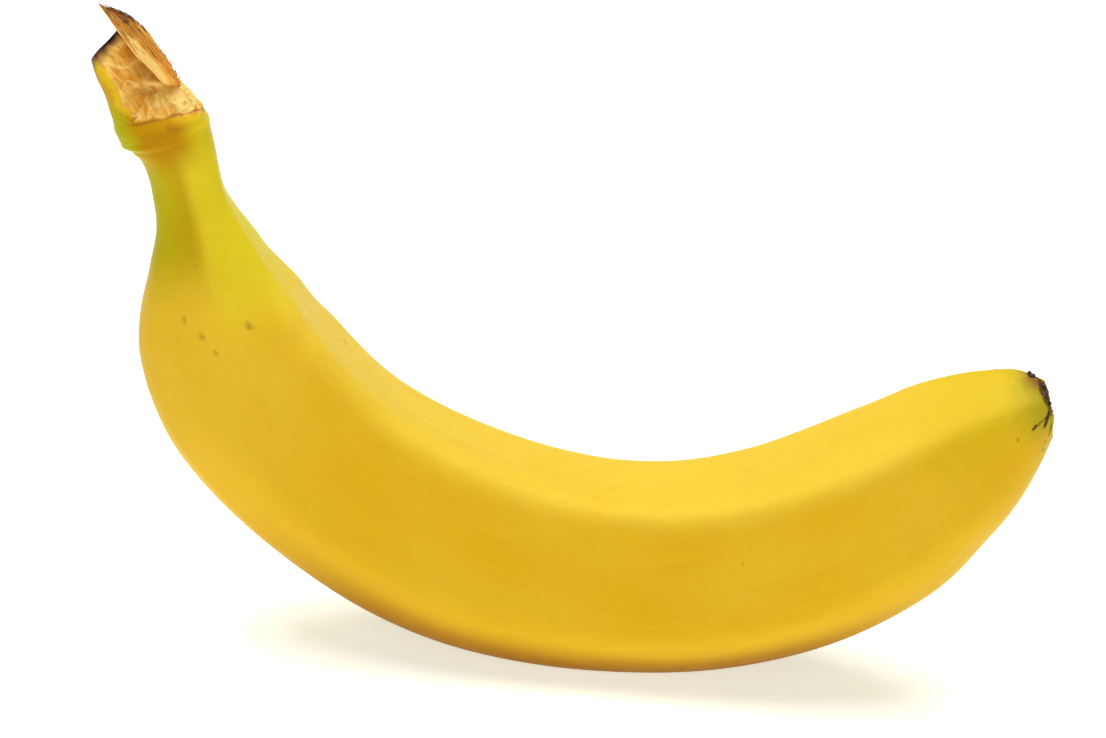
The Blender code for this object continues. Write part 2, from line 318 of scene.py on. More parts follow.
def read(stops, places):
    """Values at these places of the smooth curve through (place, value) stops, which never overshoots."""
    places = np.asarray(places, dtype=float)
    at = np.array([stop[0] for stop in stops])
    values = np.array([stop[1] for stop in stops])
    spans = np.diff(at)
    gaps = np.diff(values) / spans
    before, after = gaps[:-1], gaps[1:]
    same_way = before * after > 0.0
    between = np.where(same_way, 2.0 * before * after / np.where(same_way, before + after, 1.0), 0.0)
    slopes = np.concatenate((gaps[:1], between, gaps[-1:]))
    index = np.clip(np.searchsorted(at, places, side="left") - 1, 0, len(spans) - 1)
    t = np.clip((places - at[index]) / spans[index], 0.0, 1.0)
    rise = (2.0 * t**3 - 3.0 * t**2 + 1.0) * values[index] + (3.0 * t**2 - 2.0 * t**3) * values[index + 1]
    lean = (t**3 - 2.0 * t**2 + t) * slopes[index] + (t**3 - t**2) * slopes[index + 1]
    return rise + lean * spans[index]


def fade(start, end, values):
    """0 up to start, 1 from end, and smooth between them. It falls instead where end is below start."""
    t = np.clip((values - start) / (end - start), 0.0, 1.0)
    return t * t * (3.0 - 2.0 * t)


def bump_at(values, middle, width):
    """A smooth hump, 1 high at its middle."""
    return np.exp(-(((values - middle) / width) ** 2))


def blend(colours, colour, share):
    """Mix a colour, or an array of them, into an array of colours, by a share for each."""
    return colours + (colour - colours) * np.clip(share, 0.0, 1.0)[..., None]


def painted(colours, *layers):
    """Blend layers of (colour, share) over an array of colours, in order."""
    for colour, share in layers:
        colours = blend(colours, colour, share)
    return colours


def even(colour, shape):
    """One colour at every point."""
    return np.broadcast_to(colour, (*shape, 3))


def rough(points, size, seed):
    """Smooth noise from -1 to 1 at each point, with features of about this size."""
    flat = (np.asarray(points).reshape(-1, 3) / size + (seed, 1.7 * seed, -seed)).tolist()
    values = np.array([noise.noise(Vector(point)) for point in flat])
    return values.reshape(np.shape(points)[:-1])


def outline_radius(angles, powers):
    """Distance from the middle to the section's outline, in radii, at angles from inward."""
    total = np.zeros(np.broadcast(angles, powers).shape)
    for facing, distance in FACES:
        reach = np.cos(angles - math.radians(facing)) / distance
        total += np.maximum(0.0, reach) ** powers
    return total ** (-1.0 / powers)


def middle_line(pitch, distances):
    """Places and direction angles along the middle line, which starts at distance 0."""
    steps = np.diff(distances, prepend=0.0)
    halfway = np.radians(read(DIRECTION, distances - 0.5 * steps)) + pitch
    forward, up = np.cumsum(steps * np.cos(halfway)), np.cumsum(steps * np.sin(halfway))
    line = np.stack((forward, 0.0 * steps, up), axis=-1)
    return line, np.radians(read(DIRECTION, distances)) + pitch


def inward_of(angles):
    """Unit vectors towards the hollow of the curve, where the middle line runs at these angles."""
    angles = np.asarray(angles, dtype=float)
    return np.stack((-np.sin(angles), np.zeros_like(angles), np.cos(angles)), axis=-1)


def overhang(pitch):
    """How far the lowest point lies from the middle of mass, towards the blossom end."""
    distances = np.arange(0.0, FRUIT_END, BALANCE_STEP)
    line, angles = middle_line(pitch, distances)
    girth = read(GIRTH, distances)
    balance = np.sum(girth**2 * line[:, 0]) / np.sum(girth**2)
    feet = line - girth[:, None] * inward_of(angles)
    return feet[np.argmin(feet[:, 2]), 0] - balance


def standing_pitch():
    """The turn in the plane of the curve that puts the lowest point where the fruit stands."""
    low, high = math.radians(-LARGEST_PITCH), math.radians(LARGEST_PITCH)
    for _ in range(PITCH_HALVINGS):
        middle = 0.5 * (low + high)
        if overhang(middle) > STAND_OFFSET:
            low = middle
        else:
            high = middle
    return 0.5 * (low + high)


PITCH = standing_pitch()
ACROSS = np.array((0.0, 1.0, 0.0))
TURNS = math.tau * np.arange(STEPS_AROUND) / STEPS_AROUND


def plain_peel(distances, swell=0.0):
    """The CAD's surface, one row of points for each distance, swollen by this much along its spokes."""
    line, angles = middle_line(PITCH, distances)
    inward = inward_of(angles - np.radians(read(SLANT, distances)))
    turns = TURNS[None, :] + np.radians(read(TWIST, distances))[:, None]
    powers = read(RIDGE_POWER, distances)[:, None]
    reach = read(GIRTH, distances)[:, None] * outline_radius(TURNS[None, :], powers) + swell
    forward = np.stack((inward[:, 2], np.zeros(len(distances)), -inward[:, 0]), axis=-1)
    across = ACROSS - read(END_TURN, distances)[:, None] * forward
    middle = line - read(SHIFT, distances)[:, None] * inward
    spokes = np.cos(turns)[..., None] * inward[:, None, :] + np.sin(turns)[..., None] * across[:, None, :]
    return middle[:, None, :] + reach[..., None] * spokes


def peel_distances():
    """Distances of the peel's sections: close together at the collar and the blossom end."""
    lip_end = LIP_LENGTH + 3.0 * LIP_BLEND
    round_start = along_tip(0.76)
    near = np.arange(0.0, lip_end, END_STEP)
    far = np.arange(round_start, FRUIT_END, END_STEP)
    count = math.ceil((round_start - lip_end) / BODY_STEP)
    between = np.linspace(lip_end, round_start, count, endpoint=False)
    return np.concatenate((near, between, far, (FRUIT_END,)))


def set_down_shift():
    """The move that puts the lofted fruit where its CAD solid stands."""
    points = plain_peel(peel_distances()).reshape(-1, 3)
    across = 0.5 * (points[:, 1].min() + points[:, 1].max())
    return np.array((node_high.x - points[:, 0].max(), -across, -points[:, 2].min() - PRESS_DEPTH))


PLACE = set_down_shift()
COLLAR_ANGLE = math.radians(DIRECTION[0][1]) + PITCH
END_ANGLE = math.radians(DIRECTION[-1][1] - END_SLANT) + PITCH
END_FORWARD = np.array((math.cos(END_ANGLE), 0.0, math.sin(END_ANGLE)))
END_INWARD = inward_of(END_ANGLE)

# Millimetres round the tip for each degree, at the radius of its marks.
TIP_ARC = math.radians(1.0) * 5.8
STEM_UP = -np.array((math.cos(COLLAR_ANGLE), 0.0, math.sin(COLLAR_ANGLE)))
STEM_INWARD = inward_of(COLLAR_ANGLE)


def stem_point(height, inward, back):
    """Points in the scene from millimetres up the stem, inward and back."""
    height, inward, back = np.broadcast_arrays(height, inward, back)
    reach = height[..., None] * STEM_UP + inward[..., None] * STEM_INWARD + back[..., None] * ACROSS
    return PLACE + MM * reach


def tear_point(height, inward, back):
    """Points in the scene from places on the tear's own plane, moved back along its leaning depth axis."""
    return stem_point(height + TEAR_LEAN_UP * back, inward + TEAR_LEAN_INWARD * back, back)


# ---- meshes


def add_mesh(name, points, faces, colours, fields, material):
    """A smooth mesh piece that rides with the fruit, with a colour and named values at each point."""
    mesh = bpy.data.meshes.new(name)
    mesh.from_pydata(np.asarray(points).reshape(-1, 3).tolist(), [], faces)
    tint = mesh.attributes.new("tint", "FLOAT_COLOR", "POINT")
    flat = np.asarray(colours).reshape(-1, 3)
    tint.data.foreach_set("color", np.column_stack((flat, np.ones(len(flat)))).ravel())
    for field, values in fields.items():
        kind, key = ("FLOAT_VECTOR", "vector") if np.ndim(values) == 2 else ("FLOAT", "value")
        mesh.attributes.new(field, kind, "POINT").data.foreach_set(key, np.ravel(values))
    mesh.shade_smooth()
    mesh.materials.append(material)
    piece = bpy.data.objects.new(name, mesh)
    bpy.context.scene.collection.objects.link(piece)
    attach(piece, "root")
    return piece


def tube_faces(rows, columns, start=0):
    """Faces that join closed rows of points, and close the tube with the two middle points after them."""
    row, column = np.meshgrid(np.arange(rows - 1), np.arange(columns), indexing="ij")
    beside = (column + 1) % columns
    near, far = start + row * columns, start + (row + 1) * columns
    corners = (near + column, near + beside, far + beside, far + column)
    faces = np.stack(corners, axis=-1).reshape(-1, 4).tolist()
    middle = start + rows * columns
    last = middle - columns
    faces += [(start + (i + 1) % columns, start + i, middle) for i in range(columns)]
    faces += [(middle + 1, last + i, last + (i + 1) % columns) for i in range(columns)]
    return faces


def fibre_fields(points):
    """The named values of a mesh that is all torn fibre."""
    return {"unrolled": points, "torn": np.ones(len(points)), "dry": np.zeros(len(points))}


# ---- the peel


def path_share(from_end, side, path, half_width):
    """How fully a path over the tip, with this half width, covers each point."""
    nearest = np.full(np.shape(side), np.inf)
    for (start_end, start_side), (stop_end, stop_side) in zip(path, path[1:]):
        x, y = from_end - start_end, TIP_ARC * (side - start_side)
        run, rise = stop_end - start_end, TIP_ARC * (stop_side - start_side)
        t = np.clip((x * run + y * rise) / (run**2 + rise**2), 0.0, 1.0)
        nearest = np.minimum(nearest, np.hypot(x - t * run, y - t * rise))
    return fade(1.4, 0.7, nearest / half_width)


def collar_colours(inward):
    """Colours of the collar: green on its outer side, gold at its middle and yellow on its inner side."""
    return painted(
        even(COLLAR_GOLD, inward.shape),
        (GREEN, 0.85 * fade(-4.5, -8.5, inward)),
        (NECK_LIGHT, 0.75 * fade(0.5, 5.5, inward)),
    )


def body_swell(s, turn, unrolled):
    """How far the neck, body and tip stand out from the CAD's surface, in millimetres."""
    up, to_end = s / MM, (FRUIT_END - s) / MM
    inner = 0.5 + 0.5 * np.cos(turn)
    inner_side, outer_side = fade(0.30, 0.90, np.cos(turn)), fade(-0.30, -0.95, np.cos(turn))

    # Lumps and folds: a height, where they lie, how they are drawn out lengthwise, a size and a seed.
    swell = np.zeros(s.shape)
    for height, where, drawn_out, size, seed in (
        (0.16, 1.0, 1.0, 15.0, 1.0),
        (0.06, 1.0, 0.22, 3.4, 2.0),
        (0.07, fade(NECK_END, 0.4 * NECK_END, s), 0.16, 6.0, 3.0),
        (0.10, fade(14.0, 4.0, to_end), 0.20, 4.2, 4.0),
        (0.20, fade(3.0, 0.5, to_end), 1.0, 3.0, 5.0),
        (0.28, fade(5.0, 1.5, up), 1.0, 7.0, 6.0),
    ):
        swell += height * where * rough(unrolled * (drawn_out, 1.0, 1.0), size * MM, seed)

    # The tip stands out on its inward side, and is dented on its outer side.
    swell += read(TIP_RISE, to_end) * fade(0.15, 0.80, inner)
    swell -= 0.75 * bump_at(to_end, 22.0, 7.5) * fade(0.45, 0.10, inner)

    # The neck fills out up to the collar on all but its outer side, which has a lip and a slight rise.
    fill = fade(0.0, 2.2, up) * fade(15.0, 2.6, up)
    swell += (1.15 - 0.40 * inner_side) * fill * (1.0 - outer_side)
    swell += inner_side * read(NECK_RISE, up)
    swell += outer_side * (0.7 * bump_at(up, 2.8, 1.3) - 0.6 * fade(1.6, 0.0, up))
    swell += 0.6 * outer_side * bump_at(up, 14.0, 4.5)
    return swell


def body_rows():
    """Points, colours, unrolled places and dryness of the neck, body and tip."""
    distances = peel_distances()
    shape = (len(distances), STEPS_AROUND)
    s, turn = np.broadcast_arrays(distances[:, None], TURNS[None, :])
    girth = read(GIRTH, s)
    unrolled = np.stack((s, girth * np.cos(turn), girth * np.sin(turn)), axis=-1)
    up, to_end = s / MM, (FRUIT_END - s) / MM
    inner = 0.5 + 0.5 * np.cos(turn)

    points = plain_peel(distances, MM * body_swell(s, turn, unrolled)) + PLACE
    draw = END_DRAW * fade(END_DRAW_REACH, 0.0, to_end) * fade(0.15, 0.85, inner)
    points = points + (MM * draw)[..., None] * END_FORWARD
    points[..., 2] = np.maximum(points[..., 2], 0.0)

    mottle = rough(unrolled * (0.5, 1.0, 1.0), 9.0 * MM, 7.0)
    streak = rough(unrolled * (0.10, 1.0, 1.0), 2.2 * MM, 8.0)
    ragged = rough(unrolled, 2.4 * MM, 9.0) + 0.5 * rough(unrolled, 0.9 * MM, 10.0)
    side = np.degrees(np.where(turn > math.pi, turn - math.tau, turn))
    deep = 0.85 - 0.30 * fade(75.0, 45.0, up)
    # The underside, which faces the floor, is painted orange-brown: painted shade over the peel's own warmer
    # tone there.
    underside_shade = fade(0.30, 0.06, inner) * fade(62.0, 95.0, up) * fade(26.0, 60.0, to_end)
    reach = up + 1.6 * mottle + 0.8 * streak
    olive = fade(32.0, 19.0, reach)
    # The neck is olive green, but its lit inner side is painted paler yellow in place of the olive: painted
    # light, with the olive kept on the shaded sides.
    lit_side = fade(0.42, 0.72, inner + 0.03 * streak)
    inward, back = (points - PLACE) @ STEM_INWARD / MM, points[..., 1] / MM
    greyed = fade(5.0, 0.4, to_end + 0.9 * ragged)
    browned = fade(3.0, 0.6, to_end + 0.5 * ragged) * bump_at(side, 18.0, 30.0)
    dry = fade(0.55, 0.2, to_end + 0.35 * ragged) * fade(-80.0, -50.0, side) * fade(90.0, 60.0, side)
    colours = painted(
        even(YELLOW, shape),
        # Only the inner face, which is the top along the body, keeps the paler yellow: partly the peel's own
        # tone, partly painted light on the top and painted shade on the sides.
        (DEEP_YELLOW_AND_SHADE, fade(0.93, 0.82, inner) * deep + 0.20 * mottle),
        (UNDER_SHADE_ORANGE, underside_shade + 0.06 * streak),
        (OLIVE, olive * 0.95 * (1.0 - lit_side)),
        (NECK_LIGHT, lit_side * fade(44.0, 20.0, reach)),
        (GREEN, 0.60 * olive * fade(0.45, 0.05, inner)),
        (collar_colours(inward - TEAR_LEAN_INWARD * back), fade(9.0, 1.0, up + mottle)),
        (TIP_GOLD, 0.6 * fade(24.0, 6.0, to_end) * fade(0.5, 0.9, inner)),
        (TIP_GREEN, greyed * (0.20 + 0.50 * fade(0.35, 0.75, inner))),
        (TIP_BROWN, 0.9 * browned),
        (BARK, 0.9 * dry),
    )
    for distance, at_side, half_width in BODY_MARKS:
        across = girth / MM * np.radians(side - at_side)
        mark = fade(1.3, 0.5, np.hypot(0.7 * (up - distance), across) / half_width)
        colours = blend(colours, BROWN, 0.55 * mark)
    for half_width, strength, path in TIP_MARKS:
        mark = strength * path_share(to_end, side, path, half_width * (1.0 + 0.4 * ragged))
        colours = blend(colours, BARK, mark)
        dry = np.maximum(dry, mark)
    return points, colours, unrolled, dry


def stem_rows(collar_row):
    """Points, colours, unrolled places and tornness of the sheath above the collar."""
    heights = np.arange(STEM_STEP / MM, SHEATH_TOP, STEM_STEP / MM)[:, None]
    phi = TURNS[None, :] + math.radians(TWIST[0][1])
    shape = np.broadcast(heights, phi).shape
    outer, inner = read(SHEATH_OUTER, heights), read(SHEATH_INNER, heights)
    middle, half = 0.5 * (outer + inner), 0.5 * (inner - outer)
    side = np.sin(phi)
    inward = middle + half * np.cos(phi)
    width = np.where(side > 0.0, read(SHEATH_BACK, heights), read(SHEATH_FRONT, heights))
    lean_back = SHEATH_LEAN * heights
    back = width * np.sign(side) * np.abs(side) ** SHEATH_ROUNDNESS + lean_back

    # The first rows pass from the collar's own section into the stem's.
    collar = (collar_row - PLACE) / MM
    collar_inward, collar_back = collar @ STEM_INWARD, collar @ ACROSS
    join = fade(2.4, 0.0, heights)
    inward = mix(inward, collar_inward[None, :], join)
    back = mix(back, collar_back[None, :], join)
    grown = np.broadcast_to(heights, shape)

    # Where this point of the unbroken stem lies on the tear's plane.
    on_height = grown - TEAR_LEAN_UP * back
    on_inward = inward - TEAR_LEAN_INWARD * back
    place = np.stack((on_inward, np.zeros(shape), on_height), axis=-1)
    ragged = rough(place, 1.3, 11.0)
    fine = rough(place, 0.5, 12.0)
    past_foot = on_height - read(TEAR_FOOT, on_inward) - 0.25 * ragged - 0.10 * fine
    past_side = on_inward - read(TEAR_SIDE, on_height) - 0.30 * ragged - 0.12 * fine
    inside = np.minimum(past_foot, past_side)
    inside = np.where((side < 0.25) & (on_height > -1.0), inside, -1.0)
    inside = np.where(side > 0.0, np.minimum(inside, 0.3 + inward - mix(inner, middle, 0.25)), inside)
    torn = fade(0.0, 0.16, inside)

    # The flesh falls away behind the tear's edge, into a hollow above and to a low chunk on the inner side.
    diagonal = np.stack((on_inward + 0.42 * on_height, np.zeros(shape), 0.16 * on_height), axis=-1)
    strands = rough(diagonal, 0.9, 13.0)
    fibres = rough(diagonal, 0.32, 14.0)
    lumps = rough(place, 2.1, 15.0)
    recess = 0.45 + 2.5 * (1.0 - np.exp(-np.maximum(inside, 0.0) / 2.6))
    for depth, middle_place, widths in FLESH_HOLLOWS:
        recess += depth * patch(place, middle_place, widths)
    recess += 0.16 * strands + 0.12 * fibres + 0.60 * lumps + 0.30 * rough(place, 0.9, 37.0)
    wall = read(SHEATH_BACK, grown) * np.abs(side) ** SHEATH_ROUNDNESS + lean_back
    wall = wall - SHEATH_WALL - 0.25 * lumps
    cut_back = np.minimum(back + recess, np.maximum(wall, back))
    back = mix(back, cut_back, torn)
    inward = inward + np.where(side < 0.2, 0.35 * torn * fine * fade(0.3, 0.9, np.cos(phi)), 0.0)

    points = stem_point(grown, inward, back)
    skin = rough(points, 3.0 * MM, 16.0)
    centre = stem_point(grown, np.broadcast_to(middle, shape), lean_back + np.zeros(shape))
    spokes = points - centre
    spokes /= np.maximum(np.linalg.norm(spokes, axis=-1, keepdims=True), 1e-6)
    points = points + MM * (0.16 * skin * (1.0 - torn))[..., None] * spokes

    colours = stem_colours(grown, inward, side, place, inside, torn, strands, fibres, lumps)
    unrolled = np.stack((-MM * grown, MM * inward, MM * back), axis=-1)
    return points, colours, unrolled, torn


def patch(place, middle, widths):
    """A smooth hump, 1 high, round an (inward, height) place on the tear's plane."""
    return bump_at(place[..., 0], middle[0], widths[0]) * bump_at(place[..., 2], middle[1], widths[1])


def stem_colours(height, inward, side, place, inside, torn, strands, fibres, lumps):
    """Colours of the sheath's peel and of the torn flesh."""
    shape = height.shape
    on_inward, on_height = place[..., 0], place[..., 2]
    to_outer = inward - read(SHEATH_OUTER, height)
    to_cut = to_outer + np.maximum(0.0, 14.4 - height) * 0.9
    above = blend(even(SHEATH_GOLD, shape), SHEATH_YELLOW, fade(-2.0, 5.0, on_inward))
    peel = painted(
        collar_colours(on_inward),
        (above, fade(0.4, 2.4, height) * fade(-8.5, -5.0, on_inward)),
        (SHEATH_UPPER, fade(4.0, 8.0, height)),
        (SHEATH_BY_TEAR, fade(3.0, 6.0, height) * fade(-1.8, -0.4, inside)),
        (SHEATH_RIM, 0.7 * fade(2.0, 0.4, to_outer) * fade(5.0, 9.0, height)),
        (BROWN, 0.25 * fade(0.3, 0.6, lumps)),
        (GREY_BROWN, 0.9 * fade(10.5, 13.6, height + 0.8 * lumps) * fade(3.6, 1.0, to_cut)),
        (CUT_BROWN, 0.9 * fade(1.1, 0.1, to_cut + 0.6 * strands) * fade(11.6, 14.0, height)),
    )

    warp = np.stack((rough(place, 2.0, 31.0), np.zeros(shape), rough(place, 2.0, 32.0)), axis=-1)
    warped = place + 0.8 * warp
    swirl = rough(warped, 2.3, 33.0) + 0.30 * strands
    # The folds are only painted, not shaped: their pale crests below are painted highlight.
    fold = 1.0 - 2.2 * np.abs(rough(warped * (1.0, 1.0, 0.6), 2.4, 34.0))
    ridge = bump_at(on_height, 6.9 + 0.5 * lumps, 0.8) * bump_at(on_inward, -1.4, 3.6)
    crumbs = fade(0.24, 0.46, rough(place, 0.55, 35.0)) * patch(place, (3.2, 3.0), (1.8, 1.2))
    pale_edge = bump_at(inside, 0.25, 0.22) * fade(2.0, 5.0, on_height) * fade(12.5, 10.5, on_height)
    flesh = painted(
        even(TAN, shape),
        (RUST, 0.60 * fade(-0.05, 0.40, swirl)),
        (CREAM, 0.40 * fade(0.05, 0.45, -swirl)),
        (FOLD_HIGHLIGHT, 0.55 * fade(0.80, 0.97, fold)),
        (CREAM, 0.50 * fade(0.10, 0.50, fibres + 0.4 * strands)),
        (FIBRE_DARK, 0.50 * fade(0.10, 0.50, -fibres - 0.3 * strands)),
        # Painted shade: darker tan in the lower and upper hollows of the torn flesh.
        (HOLLOW_SHADE_TAN, 0.45 * patch(place, (-4.2, 4.9), (1.9, 1.7))),
        (UPPER_HOLLOW_SHADE_TAN, 0.45 * patch(place, (-2.6, 10.0), (2.2, 2.6))),
        (CREAM, 0.80 * ridge * fade(-0.5, 0.1, strands)),
        (CHUNK_CREAM, 0.95 * fade(0.15, 0.6, patch(place, (4.2, 3.6), (2.8, 2.6)))),
        (BROWN, 0.8 * crumbs),
        (DRY_TAN, 0.7 * fade(4.6, 2.2, to_cut + 0.7 * lumps) * fade(9.5, 12.5, height)),
        (GREY_BROWN, 0.95 * fade(3.3, 1.2, to_cut + 0.9 * strands) * fade(10.5, 12.5, height)),
        (CUT_CHAR, 0.92 * fade(1.9, 0.5, to_cut + 0.8 * strands) * fade(11.0, 13.0, height)),
        (PALE_EDGE, 0.75 * pale_edge),
    )

    crack = bump_at(on_height, read(TEAR_CRACK, on_inward) + 0.20 * lumps, 0.20) * (side < 0.2)
    specks = fade(0.22, 0.36, rough(place, 0.55, 36.0)) * patch(place, (-6.2, 1.9), (1.6, 1.3))
    return painted(
        peel + (flesh - peel) * torn[..., None],
        (BROWN, 0.80 * crack * fade(-0.45, 0.05, lumps) * fade(-7.6, -6.0, on_inward)),
        (BROWN, 0.8 * specks * (side < 0.2)),
    )


def scar_share(points, centre):
    """How fully the dry scar covers these points of the end face, where it lies off centre."""
    inward, back = (points - centre) @ END_INWARD / MM, (points - centre) @ ACROSS / MM
    reach = np.hypot((inward - SCAR_INWARD) / SCAR_HALF_DEPTH, (back - SCAR_SIDE) / SCAR_HALF_WIDTH)
    return fade(1.08, 0.88, reach + 0.16 * rough(points, 1.4 * MM, 40.0))


def end_rows(last):
    """Points, colours and dryness of the end face: a rounded edge of skin round a sunken, crumbly scar."""
    centre = last.mean(axis=0)
    rows, tints, dry = [], [], []
    for inset in np.linspace(0.03, 0.97, 30):
        ring = mix(last, centre, inset)
        scar = scar_share(ring, centre)
        dome = math.sqrt(1.0 - (1.0 - min(1.0, inset / 0.55)) ** 2)
        pits = rough(ring, 1.3 * MM, 17.0) + 0.6 * rough(ring, 0.5 * MM, 18.0)
        edge = bump_at(scar, 0.5, 0.35)
        out = dome * fade(-6.5, 0.5, (ring - centre) @ END_INWARD / MM) * (1.0 - 0.5 * scar) + 0.25 * edge
        rows.append(ring + MM * (out + scar * (0.55 * pits - 0.55))[:, None] * END_FORWARD)
        # The crumbs are coloured by the same noise that raises them: brown on the raised crumbs, near black
        # in the pits. This is partly the dry skin's own mottling, partly painted highlight and painted shade.
        crumbs = blend(even(CHAR, scar.shape), SCAR_BROWN, fade(0.1, 0.6, pits))
        tints.append(painted(even(END_SKIN, scar.shape), (SCAR_EDGE, 0.7 * edge), (crumbs, scar)))
        dry.append(scar)
    return np.array(rows), np.array(tints), np.array(dry)


def make_peel(material):
    """The whole peel in one mesh, from the stem's top to the end face. Returns its body's rows of points."""
    body, body_tint, body_unrolled, dry = body_rows()
    stem, stem_tint, stem_unrolled, torn = stem_rows(body[0])
    knob, knob_tint, knob_dry = end_rows(body[-1])
    ends = (stem[-1].mean(axis=0), knob[-1].mean(axis=0))

    def joined(stem_values, body_values, knob_values, end_values):
        """One value for each point of the peel, and for the two middle points that close it."""
        width = np.shape(end_values)[1:]
        parts = (stem_values[::-1], body_values, knob_values, np.array(end_values))
        return np.concatenate([part.reshape(-1, *width) for part in parts])

    points = joined(stem, body, knob, ends)
    tints = joined(stem_tint, body_tint, knob_tint, (CHAR, CHAR))
    fields = {
        "unrolled": joined(stem_unrolled, body_unrolled, knob, ends),
        "torn": joined(torn, np.zeros(dry.shape), np.zeros(knob_dry.shape), (1.0, 0.0)),
        "dry": joined(np.zeros(torn.shape), dry, knob_dry, (0.0, 1.0)),
    }
    faces = tube_faces(len(stem) + len(body) + len(knob), STEPS_AROUND)
    piece = add_mesh("banana_peel", points, faces, tints, fields, material)
    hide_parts("banana")
    return body


# ---- the torn tongue and its fibres


def make_tongue(material):
    """The slab of fibre that rises behind the tear, with a smooth outer edge and a ragged end."""
    rows, columns = 150, 96
    share = np.linspace(0.0, 1.0, rows)[:, None]
    around = math.tau * np.arange(columns)[None, :] / columns
    width_share = 0.5 - 0.5 * np.cos(around)
    start = TONGUE_OUTER[0][0]
    end = read(TONGUE_END, width_share) - 1.5 * fade(0.05, 0.25, width_share) - 0.5
    wave = np.stack(np.broadcast_arrays(5.0 * width_share, 0.0, 9.0 * share), axis=-1)
    height = mix(start, end, share) + 0.8 * rough(wave * (3.0, 1.0, 0.0), 1.0, 21.0) * share**6
    outer, inner = read(TONGUE_OUTER, height), read(TONGUE_INNER, height)
    inward = mix(outer, inner, width_share)
    front = np.sin(around) < 0.0
    half = 0.5 * read(TONGUE_THICKNESS, height)
    own_side = 0.0 * inward + np.where(front, 0.0, 9.0)
    grain = np.stack((inward + 0.38 * height, own_side, 0.10 * height), axis=-1)
    strands = rough(grain, 0.62, 22.0)
    fibres = rough(grain, 0.24, 23.0)
    bulge = np.where(front, -half, half) * np.abs(np.sin(around)) ** 0.8
    back = read(TONGUE_FRONT, height) + half + bulge + 0.34 * strands + 0.17 * fibres
    inward = inward + 0.30 * fade(0.6, 1.0, width_share) * rough(wave, 0.22, 24.0)
    points = tear_point(height, inward, back)

    to_end = read(TONGUE_END, width_share) - height
    reddish = fade(0.0, 0.35, -strands - 0.6 * fibres) * fade(0.38, 0.6, width_share)
    smooth_side = fade(0.50, 0.34, width_share + 0.10 * strands) * fade(5.0, 8.0, height)
    browned = fade(6.2, 2.2, to_end + 2.4 * strands) * fade(0.15, 0.32, width_share)
    charred = fade(4.2, 1.4, to_end + 2.0 * strands) * fade(0.18, 0.36, width_share)
    colours = painted(
        even(TONGUE_TAN, height.shape),
        (RUST, 0.8 * fade(-0.05, 0.4, strands) * fade(0.3, 0.55, width_share)),
        (TONGUE_RED, 0.85 * reddish * fade(7.5, 10.0, height)),
        (CREAM, 0.80 * smooth_side),
        (CREAM, 0.50 * fade(0.22, 0.5, fibres)),
        (BROWN, browned),
        (TONGUE_CHAR, charred),
        (BROWN, 0.8 * fade(1.6, 0.2, to_end) * fade(0.2, 0.1, width_share)),
    )
    ends = (points[0].mean(axis=0), points[-1].mean(axis=0))
    flat = np.concatenate((points.reshape(-1, 3), ends))
    tints = np.concatenate((colours.reshape(-1, 3), (RUST, CHAR)))
    return add_mesh("torn_tongue", flat, tube_faces(rows, columns), tints, fibre_fields(flat), material)


class Strands:
    """Collects tapered strands in one mesh."""

    SIDES = 6

    def __init__(self):
        self.points, self.faces, self.tints = [], [], []

    def add(self, path, radii, tints):
        """One strand along a path, with a radius and a colour at each of its points."""
        path = np.asarray(path, dtype=float)
        along = np.gradient(path, axis=0)
        along /= np.maximum(np.linalg.norm(along, axis=1, keepdims=True), 1e-9)
        side = np.cross(along, (0.31, 0.89, 0.33))
        side /= np.linalg.norm(side, axis=1, keepdims=True)
        other = np.cross(along, side)
        turns = (math.tau * np.arange(self.SIDES) / self.SIDES)[None, :, None]
        spokes = np.cos(turns) * side[:, None, :] + np.sin(turns) * other[:, None, :]
        rings = path[:, None, :] + np.asarray(radii)[:, None, None] * spokes
        start = sum(len(part) for part in self.points)
        self.points.append(np.concatenate((rings.reshape(-1, 3), path[:1], path[-1:])))
        self.tints.append(np.concatenate((np.repeat(tints, self.SIDES, axis=0), tints[:1], tints[-1:])))
        self.faces += tube_faces(len(path), self.SIDES, start)

    def make(self, name, material):
        points = np.concatenate(self.points)
        return add_mesh(name, points, self.faces, np.concatenate(self.tints), fibre_fields(points), material)


